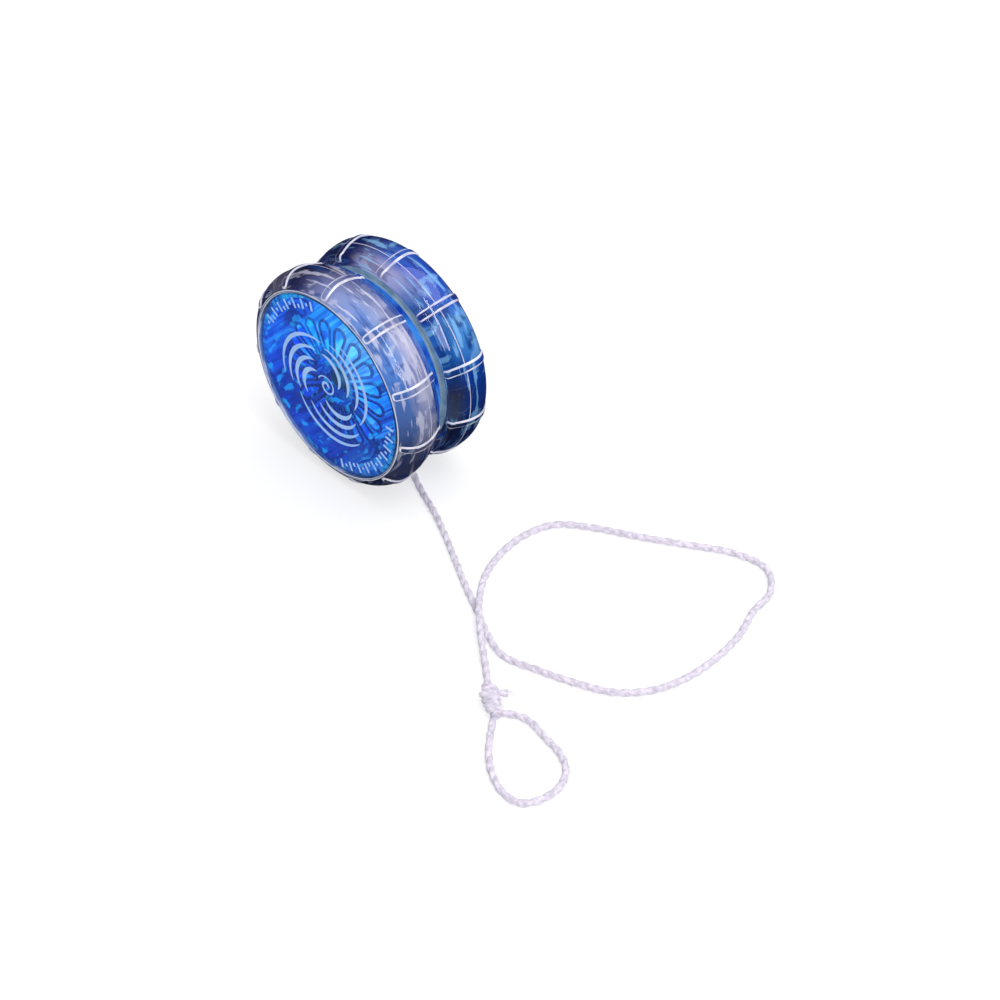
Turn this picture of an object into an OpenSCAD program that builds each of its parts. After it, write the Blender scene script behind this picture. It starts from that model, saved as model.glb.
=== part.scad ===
// Ball-bearing yo-yo with clear grip rims, blue starburst halves and a string
// with a finger loop. It stands on its rims: the axle runs along Y, the table is
// z = 0, and the origin is on the table midway between the halves.

/* [Wheel] */
// Diameter over the crest of the rims
wheel_d = 57; // [54:1:60]
// Distance between the two lip rings, the overall width
wheel_w = 28.4; // [27.4:0.2:30]
// Width of the string gap at its floor
gap_w = 3.8; // [3.6:0.1:4]

/* [Grip bars] */
// Bars round each rim
bar_count = 11; // [9:1:12]
// Width of one bar
bar_w = 1.8; // [1.4:0.1:2.4]
// Height of a bar above the rim
bar_rise = 0.3; // [0.2:0.05:0.4]

/* [Starburst] */
// Petals round each core
petal_count = 18; // [12:1:18]
// Radius that the petal tips reach
petal_reach = 17; // [15:0.5:18]

/* [Bearing] */
// Bore of the ball bearing
bearing_bore = 6.35; // [6.3:0.05:6.4]
// Outside diameter of the ball bearing
bearing_d = 12.7; // [12.6:0.1:13]
// Width of the ball bearing
bearing_w = 4.76; // [4.6:0.02:4.8]
// Diameter of one ball
ball_d = 1.58; // [1.5:0.02:1.6]
// Balls in the bearing
ball_count = 9; // [7:1:10]

/* [Axle] */
// Diameter of the threaded axle
axle_d = 4; // [3.9:0.05:4.1]
// Length of the threaded axle
axle_len = 20; // [18:0.5:21]
// Width across the flats of each nut
nut_flats = 7; // [6.8:0.1:7.2]
// Height of each nut
nut_h = 3.2; // [2.8:0.1:3.4]

/* [String] */
// Diameter of the twisted string
cord_d = 1.8; // [1.6:0.1:1.8]
// Layers of string wound on the bearing, two turns side by side in each
cord_layers = 5; // [3:1:5]

/* [Hidden] */
$fn = 96;

// The halves face away from each other along Y
front = -1;
rear = 1;
// Turn of the first bar of each rim about the axle, in degrees
front_phase = 55.5;
rear_phase = -51.5;

// Half-section of one half: radius from the axle, and height above the mid-plane
crest_r = wheel_d / 2;
crest_z = 9;
lip_z = wheel_w / 2;
floor_z = gap_w / 2;
// Arcs of the rim: from the crest back to the gap, from the crest to the face,
// and round the edge of the gap
back_arc = 12;
face_arc = 5.6;
edge_arc = 1.2;
edge_z = floor_z + edge_arc;
edge_r = crest_r - back_arc + sqrt(pow(back_arc, 2) - pow(crest_z - edge_z, 2)) - edge_arc;

// Plain edge left between the bars and the lip ring
bar_end_gap = 0.5;

// Seats inside the rim shell
flange_r = 22.5;
flange_top_z = 3.4;
liner_r = 24;
cap_r = 24.6;
cap_seat_z = 12.6;
cap_face_z = lip_z - 0.3;
cap_bevel = 0.7;

// Core: floor, liner wall, hub and petals
core_step_z = 4.6;
liner_wall = 1.2;
hub_r = 5.6;
hub_top_z = 10;
petal_top_z = 11;
petal_wall = 0.55;
petal_tip_r = 0.13 * petal_reach;
petal_root_x = 7;
petal_root_half = 0.75;
bearing_seat_z = 2.7;
pad_in_r = 9.4;
pad_out_r = 13;
pad_depth = 0.8;
nut_seat_z = 5.6;

// Clearances: a close fit, the axle in the core, and the bearing and nuts in their seats
fit_gap = 0.02;
axle_gap = 0.1;
seat_gap = 0.25;
nut_gap = 0.1;

// Bearing
race_gap = 0.05;
pitch_r = (bearing_bore + bearing_d) / 4;
inner_race_r = pitch_r - 0.6;
outer_race_r = pitch_r + 0.6;
groove_r = ball_d / 2 + race_gap;
cage_wall = 0.42;
cage_w = 2.3;
shield_t = 0.25;
shield_in_r = inner_race_r + 0.12;
shield_out_r = outer_race_r + 0.4;
shield_z = bearing_w / 2 - 0.3 - shield_t;
run_gap = 0.04;
bearing_seat_r = bearing_d / 2 + seat_gap;
// The two spacers almost meet at the mid-plane
spacer_start_z = 0.1;
spacer_flange_r = inner_race_r - 0.1;

// Wound string: neighbouring turns share a little of their width
layer_step = cord_d - 0.05;
wound_in_r = bearing_d / 2;
wound_out_r = wound_in_r + cord_d + (cord_layers - 1) * layer_step;
wound_w = gap_w - 0.4;

// Route of the loose string: off the winding, down to the table, out along it,
// round the wide bend, back over itself and into the knot
table_z = cord_d / 2;
over_z = table_z + cord_d + 0.1;
free_route = [
  [14.2, -0.8, 27], [13.9, -0.7, 20], [13.3, -0.6, 13], [13.4, -0.5, 6.6], [15.4, -1, 2.4],
  [20.5, -3, table_z], [28, -6, table_z], [36, -10, table_z], [44, -14.4, table_z],
  [52, -18.8, table_z], [60, -22.8, table_z], [67, -26.4, table_z], [74, -28.4, table_z],
  [82, -26.2, table_z], [91, -23, table_z], [99, -19, table_z], [104.6, -12.4, table_z],
  [107.4, -4, table_z], [108, 5, table_z], [107, 14, table_z], [104.4, 22, table_z],
  [103, 30, table_z], [97, 35.4, table_z], [88, 33.8, table_z], [79, 28.6, table_z],
  [69, 22.6, table_z], [59, 17.2, table_z], [51.6, 11.4, table_z], [49, 3, table_z],
  [50, -6, table_z + 0.3], [53.4, -14, table_z + 1.3], [58.6, -21, over_z],
  [64.4, -26.6, over_z - 0.4], [70.4, -31.4, table_z + 0.6], [76, -35.8, table_z],
  [80.6, -39.4, table_z]
];
// Route of the finger loop, out of the knot and back into it
loop_route = [
  [84.8, -42.2, table_z], [88, -46.6, table_z], [92.4, -51.6, table_z],
  [97, -55, table_z], [102, -56.8, table_z], [106.4, -56.2, table_z],
  [108.8, -52.4, table_z], [109.2, -47.6, table_z], [107, -43, table_z],
  [102.6, -40.4, table_z], [97.4, -39.4, table_z], [92, -38.4, table_z],
  [88.4, -39.2, table_z], [85.2, -41.4, table_z]
];
// Knot: thick where the string comes in, thinner where the loop goes out
knot_at = [80.8, -39.8];
knot_d = 5;
knot_end_at = [84.6, -42];
knot_end_d = 3.6;
tail_d = cord_d - 0.2;
tail_len = 4.4;
tail_turn = 49;

// Placing: a half is drawn with its outward direction along Z
module half(side) {
  translate([0, 0, crest_r]) rotate([-90 * side, 0, 0]) children();
}

module about_axle() {
  translate([0, 0, crest_r]) rotate([90, 0, 0]) children();
}

module ring(r_in, r_out, z_low, z_high) {
  translate([0, 0, z_low]) difference() {
    cylinder(r = r_out, h = z_high - z_low);
    translate([0, 0, -1]) cylinder(r = r_in, h = z_high - z_low + 2);
  }
}

// Outline of the rim in half-section, optionally grown outwards
module rim_outline(grow = 0) {
  intersection() {
    translate([crest_r - back_arc, crest_z]) circle(r = back_arc + grow);
    translate([flange_r, edge_z]) square([crest_r, crest_z - edge_z]);
  }
  intersection() {
    translate([crest_r - face_arc, crest_z]) circle(r = face_arc + grow);
    translate([flange_r, crest_z]) square([crest_r, lip_z - crest_z]);
  }
  translate([edge_r, edge_z]) circle(r = edge_arc + grow);
  translate([flange_r, floor_z]) square([edge_r - flange_r, edge_arc]);
}

// Raised bar across the rim, from its gap edge nearly to its lip ring
module bar() {
  bar_low = floor_z - bar_rise;
  bar_high = lip_z - bar_end_gap;
  bar_turn = 2 * asin(bar_w / wheel_d);
  rotate(-bar_turn / 2) rotate_extrude(angle = bar_turn) intersection() {
    rim_outline(bar_rise);
    translate([liner_r + 1, bar_low]) square([crest_r, bar_high - bar_low]);
  }
}

module rim_shell(phase) {
  difference() {
    union() {
      rotate_extrude() rim_outline();
      for (i = [0 : bar_count - 1]) rotate(phase + i * 360 / bar_count) bar();
    }
    translate([0, 0, flange_top_z]) cylinder(r = liner_r, h = lip_z);
    translate([0, 0, cap_seat_z]) cylinder(r = cap_r, h = lip_z);
  }
}

// One petal in plan: a wedge with a round tip, optionally shrunk to its inside
module petal_outline(inset = 0) {
  tip_x = petal_reach - petal_tip_r;
  tip_half = petal_tip_r - inset;
  root_x = petal_root_x + 2 * inset;
  root_half = petal_root_half - inset / 2;
  translate([tip_x, 0]) circle(r = tip_half, $fn = 32);
  polygon([[root_x, -root_half], [tip_x, -tip_half], [tip_x, tip_half], [root_x, root_half]]);
}

module core() {
  difference() {
    union() {
      translate([0, 0, floor_z]) cylinder(r = flange_r, h = core_step_z - floor_z);
      translate([0, 0, flange_top_z]) cylinder(r = liner_r, h = core_step_z - flange_top_z);
      ring(liner_r - liner_wall, liner_r, flange_top_z, cap_seat_z);
      translate([0, 0, flange_top_z]) cylinder(r = hub_r, h = hub_top_z - flange_top_z);
      for (i = [0 : petal_count - 1]) rotate(i * 360 / petal_count)
        translate([0, 0, flange_top_z]) linear_extrude(height = petal_top_z - flange_top_z)
          difference() {
            petal_outline();
            petal_outline(petal_wall);
          }
    }
    translate([0, 0, floor_z - 1]) cylinder(r = bearing_seat_r, h = bearing_seat_z - floor_z + 1);
    ring(pad_in_r, pad_out_r, floor_z - 1, floor_z + pad_depth);
    cylinder(r = axle_d / 2 + axle_gap, h = lip_z);
    translate([0, 0, nut_seat_z]) cylinder(d = nut_flats / cos(30), h = lip_z, $fn = 6);
  }
}

module face_cap() {
  rotate_extrude() polygon([
    [0, cap_seat_z], [cap_r, cap_seat_z], [cap_r, cap_face_z - cap_bevel],
    [cap_r - cap_bevel, cap_face_z], [0, cap_face_z]
  ]);
}

module response_pad() {
  ring(pad_in_r, pad_out_r, floor_z, floor_z + pad_depth);
}

module hex_nut() {
  translate([0, 0, nut_seat_z]) difference() {
    cylinder(d = (nut_flats - nut_gap) / cos(30), h = nut_h, $fn = 6);
    translate([0, 0, -1]) cylinder(r = axle_d / 2 + fit_gap, h = nut_h + 2);
  }
}

// Stepped bush: a spigot inside the bearing and a flange between it and the core
module spacer() {
  difference() {
    union() {
      translate([0, 0, spacer_start_z]) cylinder(r = bearing_bore / 2 - fit_gap, h = bearing_w / 2);
      translate([0, 0, bearing_w / 2]) cylinder(r = spacer_flange_r, h = bearing_seat_z - bearing_w / 2);
    }
    translate([0, 0, -1]) cylinder(r = axle_d / 2 + fit_gap, h = bearing_w);
  }
}

// Race ring with a groove for the balls
module race(r_in, r_out) {
  difference() {
    ring(r_in, r_out, -bearing_w / 2, bearing_w / 2);
    rotate_extrude() translate([pitch_r, 0]) circle(r = groove_r);
  }
}

module ball_places() {
  for (i = [0 : ball_count - 1]) rotate(i * 360 / ball_count) translate([pitch_r, 0, 0]) children();
}

module shield(side) {
  z_low = side > 0 ? shield_z : -shield_z - shield_t;
  ring(shield_in_r, shield_out_r, z_low, z_low + shield_t);
}

// Points of a smooth curve through a route, and a tube swept along it
function curve_point(p, i, t) =
  let (
    a = p[max(i - 1, 0)], b = p[i], c = p[i + 1], d = p[min(i + 2, len(p) - 1)]
  )
  0.5 * (2 * b + (c - a) * t + (2 * a - 5 * b + 4 * c - d) * t * t
    + (3 * b - a - 3 * c + d) * t * t * t);
function curve(p, parts) = concat(
  [for (i = [0 : len(p) - 2]) for (k = [0 : parts - 1]) curve_point(p, i, k / parts)],
  [p[len(p) - 1]]
);
function unit(v) = v / norm(v);
function heading(p, i) = unit(p[min(i + 1, len(p) - 1)] - p[max(i - 1, 0)]);
function square_to(v, along) = unit(v - (v * along) * along);
// Side directions carried along the curve, so that the tube doesn't twist
function sides(p, start) = [
  for (i = 0, v = square_to(start, heading(p, 0)); i < len(p);
    i = i + 1, v = i < len(p) ? square_to(v, heading(p, i)) : v) v
];

module tube(route, parts, side) {
  edge_count = 8;
  path = curve(route, parts);
  side_dirs = sides(path, side);
  last = len(path) - 1;
  points = [
    for (i = [0 : last]) for (k = [0 : edge_count - 1])
      let (angle = k * 360 / edge_count, up = cross(heading(path, i), side_dirs[i]))
      path[i] + cord_d / 2 * (cos(angle) * side_dirs[i] + sin(angle) * up)
  ];
  skin = [
    for (i = [0 : last - 1]) for (k = [0 : edge_count - 1])
      let (a = i * edge_count + k, b = i * edge_count + (k + 1) % edge_count)
      each [[a, a + edge_count, b], [b, a + edge_count, b + edge_count]]
  ];
  start_cap = [for (k = [0 : edge_count - 1]) k];
  end_cap = [for (k = [edge_count - 1 : -1 : 0]) last * edge_count + k];
  polyhedron(points, concat(skin, [start_cap, end_cap]), convexity = 10);
}

module front_rim_shell() { color("#D8DCEA", 0.4) half(front) rim_shell(front_phase); }
module front_core() { color("#1B63D8") half(front) core(); }
module front_face_cap() { color("#2F8BF0", 0.6) half(front) face_cap(); }
module front_response_pad() { color("#C9D2D6") half(front) response_pad(); }
module front_hex_nut() { color("silver") half(front) hex_nut(); }
module front_spacer() { color("gold") half(front) spacer(); }
module rear_rim_shell() { color("#D8DCEA", 0.4) half(rear) rim_shell(rear_phase); }
module rear_core() { color("#1B63D8") half(rear) core(); }
module rear_face_cap() { color("#2F8BF0", 0.6) half(rear) face_cap(); }
module rear_response_pad() { color("#C9D2D6") half(rear) response_pad(); }
module rear_hex_nut() { color("silver") half(rear) hex_nut(); }
module rear_spacer() { color("gold") half(rear) spacer(); }

module axle() {
  color("silver") about_axle() cylinder(d = axle_d, h = axle_len, center = true);
}

module bearing_inner_ring() {
  color("lightsteelblue") about_axle() race(bearing_bore / 2, inner_race_r);
}

module bearing_outer_ring() {
  color("lightsteelblue") about_axle() difference() {
    race(outer_race_r, bearing_d / 2);
    ring(outer_race_r - 1, shield_out_r, shield_z, bearing_w);
    ring(outer_race_r - 1, shield_out_r, -bearing_w, -shield_z);
  }
}

module bearing_balls() {
  color("white") about_axle() ball_places() sphere(d = ball_d);
}

module bearing_cage() {
  color("peru") about_axle() difference() {
    ring(pitch_r - cage_wall, pitch_r + cage_wall, -cage_w / 2, cage_w / 2);
    ball_places() rotate([0, 90, 0]) cylinder(d = ball_d + 2 * run_gap, h = ball_d, center = true);
  }
}

module bearing_front_shield() { color("gainsboro") about_axle() shield(1); }
module bearing_rear_shield() { color("gainsboro") about_axle() shield(-1); }

module wound_string() {
  round_r = cord_d / 2;
  color("#EDEAF7") about_axle() rotate_extrude() {
    translate([wound_in_r, -wound_w / 2]) square([wound_out_r - round_r - wound_in_r, wound_w]);
    for (side = [-1, 1]) translate([wound_out_r - round_r, side * (wound_w / 2 - round_r)])
      circle(r = round_r);
  }
}

module string() { color("#EDEAF7") tube(free_route, 2, [0, 1, 0]); }
module finger_loop() { color("#EDEAF7") tube(loop_route, 1, [0, 0, 1]); }

module knot() {
  color("#EDEAF7") {
    hull() {
      translate([knot_at.x, knot_at.y, knot_d / 2]) sphere(d = knot_d, $fn = 24);
      translate([knot_end_at.x, knot_end_at.y, knot_end_d / 2]) sphere(d = knot_end_d, $fn = 24);
    }
    translate([knot_at.x, knot_at.y, knot_d / 2]) rotate(tail_turn) rotate([0, 90, 0])
      cylinder(d = tail_d, h = tail_len);
  }
}

front_rim_shell();
front_core();
front_face_cap();
front_response_pad();
front_hex_nut();
front_spacer();
rear_rim_shell();
rear_core();
rear_face_cap();
rear_response_pad();
rear_hex_nut();
rear_spacer();
axle();
bearing_inner_ring();
bearing_outer_ring();
bearing_balls();
bearing_cage();
bearing_front_shield();
bearing_rear_shield();
wound_string();
string();
knot();
finger_loop();
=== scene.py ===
"""Looks of the yo-yo: camera, string, clear rims, blue starburst halves, light and floor."""

import math
import random

import bmesh
import bpy
import numpy as np
from mathutils import Matrix, Vector


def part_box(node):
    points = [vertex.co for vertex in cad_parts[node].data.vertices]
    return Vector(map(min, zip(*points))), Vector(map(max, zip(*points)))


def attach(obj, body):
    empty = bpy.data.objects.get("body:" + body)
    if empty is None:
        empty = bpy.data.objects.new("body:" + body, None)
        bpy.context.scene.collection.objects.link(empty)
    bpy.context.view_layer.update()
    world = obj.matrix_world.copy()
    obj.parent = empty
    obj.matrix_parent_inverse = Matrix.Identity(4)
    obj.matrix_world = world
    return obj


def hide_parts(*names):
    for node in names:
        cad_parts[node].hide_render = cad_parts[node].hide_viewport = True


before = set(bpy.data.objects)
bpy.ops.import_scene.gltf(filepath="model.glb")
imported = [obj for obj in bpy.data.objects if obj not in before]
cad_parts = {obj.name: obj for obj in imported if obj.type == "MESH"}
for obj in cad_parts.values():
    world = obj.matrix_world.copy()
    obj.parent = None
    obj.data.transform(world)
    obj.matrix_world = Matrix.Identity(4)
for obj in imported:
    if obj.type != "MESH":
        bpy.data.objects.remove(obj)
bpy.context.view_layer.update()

MM = 0.001
TAU = 2 * math.pi

# ---------------------------------------------------------------- sizes from the frame
axle_low, axle_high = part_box("axle")
_, rim_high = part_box("rear_rim_shell")
cap_low, cap_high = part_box("rear_face_cap")
core_low, core_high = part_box("rear_core")
wound_low, wound_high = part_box("wound_string")

CENTRE = (axle_low + axle_high) / 2
CREST_R = CENTRE.z
LIP_W = rim_high.y
FLOOR_W = core_low.y
CAP_R = (cap_high.x - cap_low.x) / 2
CAP_SEAT_W = cap_low.y
CAP_FACE_W = cap_high.y
LINER_R = (core_high.x - core_low.x) / 2

# Arcs of the rim's half-section, as the CAD rim has them
CREST_W = 9 * MM
BACK_ARC = 12 * MM
FACE_ARC = 5.6 * MM
EDGE_ARC = 1.2 * MM
FLANGE_R = 22.5 * MM
FLANGE_TOP_W = 3.4 * MM

# Grip bars, and the angle of one of them on each half
BAR_COUNT = 11
BAR_WIDTH = 1.9 * MM
BAR_RISE = 0.3 * MM
FRONT_PHASE = 55.5
REAR_PHASE = 51.5

# String, and the height of its centreline on the table and where it crosses over itself
CORD_D = 1.8 * MM
TABLE_Z = CORD_D / 2
OVER_Z = TABLE_Z + CORD_D + 0.1 * MM


# ---------------------------------------------------------------- camera
def add_camera():
    """The photograph's view: from the right, in front and above, the wheel left of the middle."""
    elevation, azimuth = math.radians(41.5), math.radians(44.9)
    distance, right_shift, up_shift = 500 * MM, 31.4 * MM, -33.5 * MM
    back = Vector((
        math.sin(azimuth) * math.cos(elevation),
        -math.cos(azimuth) * math.cos(elevation),
        math.sin(elevation),
    ))
    right = Vector((math.cos(azimuth), math.sin(azimuth), 0))
    up = back.cross(right)
    camera = bpy.data.objects.new("camera", bpy.data.cameras.new("camera"))
    bpy.context.scene.collection.objects.link(camera)
    turn = Matrix((right, up, back)).transposed().to_4x4()
    place = CENTRE + back * distance + right * right_shift + up * up_shift
    camera.matrix_world = Matrix.Translation(place) @ turn
    camera.data.sensor_width = 36
    camera.data.lens = 74.5
    camera.data.clip_start = 0.01
    bpy.context.scene.camera = camera


add_camera()


# ---------------------------------------------------------------- mesh helpers
def make_object(name, vertices, faces, material=None, sharp=35):
    """Smooth object from vertices and faces; edges past this many degrees stay sharp."""
    mesh = bpy.data.meshes.new(name)
    mesh.from_pydata([tuple(v) for v in vertices], [], faces)
    mesh.validate()
    shaped = bmesh.new()
    shaped.from_mesh(mesh)
    bmesh.ops.recalc_face_normals(shaped, faces=shaped.faces)
    shaped.to_mesh(mesh)
    shaped.free()
    mesh.shade_smooth()
    mesh.set_sharp_from_angle(angle=math.radians(sharp))
    piece = bpy.data.objects.new(name, mesh)
    bpy.context.scene.collection.objects.link(piece)
    if material:
        mesh.materials.append(material)
    return piece


def curve_points(route, parts):
    """Smooth curve through the points of a route, with this many steps between two of them."""
    p = [Vector(q) for q in route]
    points = []
    for i in range(len(p) - 1):
        a, b, c, d = p[max(i - 1, 0)], p[i], p[i + 1], p[min(i + 2, len(p) - 1)]
        for k in range(parts):
            t = k / parts
            points.append(0.5 * (
                2 * b + (c - a) * t + (2 * a - 5 * b + 4 * c - d) * t * t
                + (3 * b - a - 3 * c + d) * t * t * t
            ))
    points.append(p[-1])
    return points


def even_steps(points, step):
    """The same line with points at even distances."""
    p = np.array([tuple(q) for q in points])
    along = np.concatenate([[0], np.cumsum(np.linalg.norm(np.diff(p, axis=0), axis=1))])
    count = max(2, round(along[-1] / step) + 1)
    at = np.linspace(0, along[-1], count)
    return np.stack([np.interp(at, along, p[:, k]) for k in range(3)], axis=1)


def line_length(points):
    return float(np.linalg.norm(np.diff(np.array(points), axis=0), axis=1).sum())


def frames_along(path):
    """Tangent and two side directions at each point, carried along without twisting."""
    tangents = np.gradient(path, axis=0)
    tangents /= np.linalg.norm(tangents, axis=1)[:, None]
    side = np.cross(tangents[0], (0.3, 0.5, 0.81))
    side /= np.linalg.norm(side)
    sides = []
    for t in tangents:
        side = side - side.dot(t) * t
        side /= np.linalg.norm(side)
        sides.append(side)
    sides = np.array(sides)
    return tangents, sides, np.cross(tangents, sides)


def smooth_step(x):
    x = min(1, max(0, x))
    return x * x * (3 - 2 * x)


# Twist of the string, the sides of its section, and how far the section narrows between plies
PLY_PITCH = 6 * MM
PLY_SIDES = 20
PLY_WAIST = 0.67


def twisted_cord(name, points, step, diameter=CORD_D):
    """Two-ply twisted string along a line: a lobed section that turns once in each pitch."""
    path = even_steps(points, step)
    _, sides, ups = frames_along(path)
    spin = TAU * np.arange(len(path)) * (line_length(path) / (len(path) - 1)) / PLY_PITCH
    angles = np.arange(PLY_SIDES) * TAU / PLY_SIDES
    reach = diameter / 2 * (PLY_WAIST + (1 - PLY_WAIST) * np.abs(np.cos(angles)) ** 0.9)
    rings = []
    for i, centre in enumerate(path):
        direction = angles + spin[i]
        rings.append(
            centre
            + (reach * np.cos(direction))[:, None] * sides[i]
            + (reach * np.sin(direction))[:, None] * ups[i]
        )
    vertices = np.concatenate(rings)
    faces = []
    for i in range(len(path) - 1):
        for k in range(PLY_SIDES):
            a, b = i * PLY_SIDES + k, i * PLY_SIDES + (k + 1) % PLY_SIDES
            faces.append((a, b, b + PLY_SIDES, a + PLY_SIDES))
    last = (len(path) - 1) * PLY_SIDES
    faces.append(tuple(range(PLY_SIDES - 1, -1, -1)))
    faces.append(tuple(range(last, last + PLY_SIDES)))
    piece = make_object(name, vertices, faces, sharp=60)
    return piece, path


# ---------------------------------------------------------------- string
def mm_points(route):
    return [Vector(p) * MM for p in route]


TABLE_MM, OVER_MM = TABLE_Z / MM, OVER_Z / MM
FREE_ROUTE = mm_points([
    (14.2, -0.8, 27), (13.9, -0.7, 20), (13.3, -0.6, 13), (13.4, -0.5, 6.6), (15.4, -1, 2.4),
    (20.5, -3, TABLE_MM), (28, -6, TABLE_MM), (36, -10, TABLE_MM), (44, -14.4, TABLE_MM),
    (52, -18.8, TABLE_MM), (60, -22.8, TABLE_MM), (67, -26.4, TABLE_MM), (74, -28.4, TABLE_MM),
    (82, -26.2, TABLE_MM), (91, -23, TABLE_MM), (99, -19, TABLE_MM), (104.6, -12.4, TABLE_MM),
    (107.4, -4, TABLE_MM), (108, 5, TABLE_MM), (107, 14, TABLE_MM), (104.4, 22, TABLE_MM),
    (103, 30, TABLE_MM), (97, 35.4, TABLE_MM), (88, 33.8, TABLE_MM), (79, 28.6, TABLE_MM),
    (69, 22.6, TABLE_MM), (59, 17.2, TABLE_MM), (51.6, 11.4, TABLE_MM), (49, 3, TABLE_MM),
    (50, -6, TABLE_MM + 0.3), (53.4, -14, TABLE_MM + 1.3), (58.6, -21, OVER_MM),
    (64.4, -26.6, OVER_MM - 0.4), (70.4, -31.4, TABLE_MM + 0.6), (76, -35.8, TABLE_MM),
    (80.6, -39.4, TABLE_MM),
])
LOOP_ROUTE = mm_points([
    (84.8, -42.2, TABLE_MM), (88, -46.6, TABLE_MM), (92.4, -51.6, TABLE_MM),
    (97, -55, TABLE_MM), (102, -56.8, TABLE_MM), (106.4, -56.2, TABLE_MM),
    (108.8, -52.4, TABLE_MM), (109.2, -47.6, TABLE_MM), (107, -43, TABLE_MM),
    (102.6, -40.4, TABLE_MM), (97.4, -39.4, TABLE_MM), (92, -38.4, TABLE_MM),
    (88.4, -39.2, TABLE_MM), (85.2, -41.4, TABLE_MM),
])
# The winding: two turns in each layer. STEP_FROM is the share of a turn after which the string
# crosses to the next place.
CORD_LAYERS = 5
LAYER_STEP = CORD_D - 0.05 * MM
TURN_POINTS = 40
STEP_FROM = 0.8
STRING_STEP = 0.42 * MM
# Loose length that carries fibres, and the fibres themselves
SEEN_LENGTH = 290 * MM
FIBRE_ROOT_R = 0.75 * MM
FIBRE_HALF = 0.05 * MM
FIBRE_MM = (0.5, 1.3)


def wound_turns():
    """Centreline on the bearing: two turns side by side in each layer, out to where it leaves."""
    outer_r = (wound_high.x - wound_low.x) / 2 - CORD_D / 2
    side_w = (wound_high.y - wound_low.y) / 2 - CORD_D / 2 - 0.02 * MM
    leaves_at = math.atan2(FREE_ROUTE[0].z - CENTRE.z, FREE_ROUTE[0].x)
    turns = 2 * CORD_LAYERS
    points = []
    for n in range(turns * TURN_POINTS):
        turn, part = divmod(n, TURN_POINTS)
        part /= TURN_POINTS
        layer = turn // 2
        step_share = smooth_step((part - STEP_FROM) / (1 - STEP_FROM))
        radius = outer_r - (CORD_LAYERS - 1 - layer) * LAYER_STEP
        side = [1, -1, -1, 1][turn % 4]
        if turn % 2 == 1 and turn < turns - 1:
            radius += LAYER_STEP * step_share
        if turn % 2 == 0:
            side *= 1 - 2 * step_share
        angle = leaves_at + TAU * (turns - n / TURN_POINTS)
        points.append(
            CENTRE + Vector((radius * math.cos(angle), side * side_w, radius * math.sin(angle)))
        )
    return points


def add_string():
    turns = wound_turns()
    free = curve_points(FREE_ROUTE, 16)
    line = turns + free
    string, path = twisted_cord("string_twist", line, STRING_STEP)
    loose = path[-int(SEEN_LENGTH / STRING_STEP):]
    roots = fibre_roots(loose, 260, seed=3, reach=FIBRE_ROOT_R)
    fibres = add_fibres("string_fibres", roots, seed=4)
    string = join("string_twist", [string, fibres])
    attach(string, "string_side")
    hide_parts("string", "wound_string")
    return string, path, turns[0]


def add_finger_loop():
    loop, path = twisted_cord("finger_loop_twist", curve_points(LOOP_ROUTE, 16), 0.3 * MM)
    roots = fibre_roots(path, 90, seed=7, reach=FIBRE_ROOT_R)
    fibres = add_fibres("loop_fibres", roots, seed=8)
    loop = join("finger_loop_twist", [loop, fibres])
    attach(loop, "string_side")
    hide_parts("finger_loop")
    return loop, path


def add_fibres(name, roots, seed):
    """Fine loose fibres: thin bent slivers standing off the string at each root."""
    draw = random.Random(seed)
    vertices, faces = [], []
    for root, away in roots:
        away = Vector(away).normalized()
        drift = Vector([draw.uniform(-1, 1) for _ in range(3)])
        length = draw.uniform(*FIBRE_MM) * MM
        side = away.cross(drift).normalized() * FIBRE_HALF
        start = len(vertices)
        for t in (0, 0.5, 1):
            spot = Vector(root) + away * length * t + drift * (0.5 * length * t * t)
            spot.z = max(spot.z, FIBRE_HALF)
            across = side * (1 - 0.7 * t)
            vertices += [spot + across, spot - across, spot + across.cross(away)]
        for row in (start, start + 3):
            for k in range(3):
                nxt = (k + 1) % 3
                faces.append((row + k, row + nxt, row + nxt + 3, row + k + 3))
    return make_object(name, vertices, faces)


def fibre_roots(path, count, seed, reach):
    """Random places on a string's surface, with the direction away from it."""
    draw = random.Random(seed)
    tangents, sides, ups = frames_along(path)
    roots = []
    for _ in range(count):
        i, angle = draw.randrange(len(path)), draw.uniform(0, TAU)
        away = sides[i] * math.cos(angle) + ups[i] * math.sin(angle)
        roots.append((path[i] + away * reach, away + tangents[i] * draw.uniform(-1.2, 1.2)))
    return roots


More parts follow.
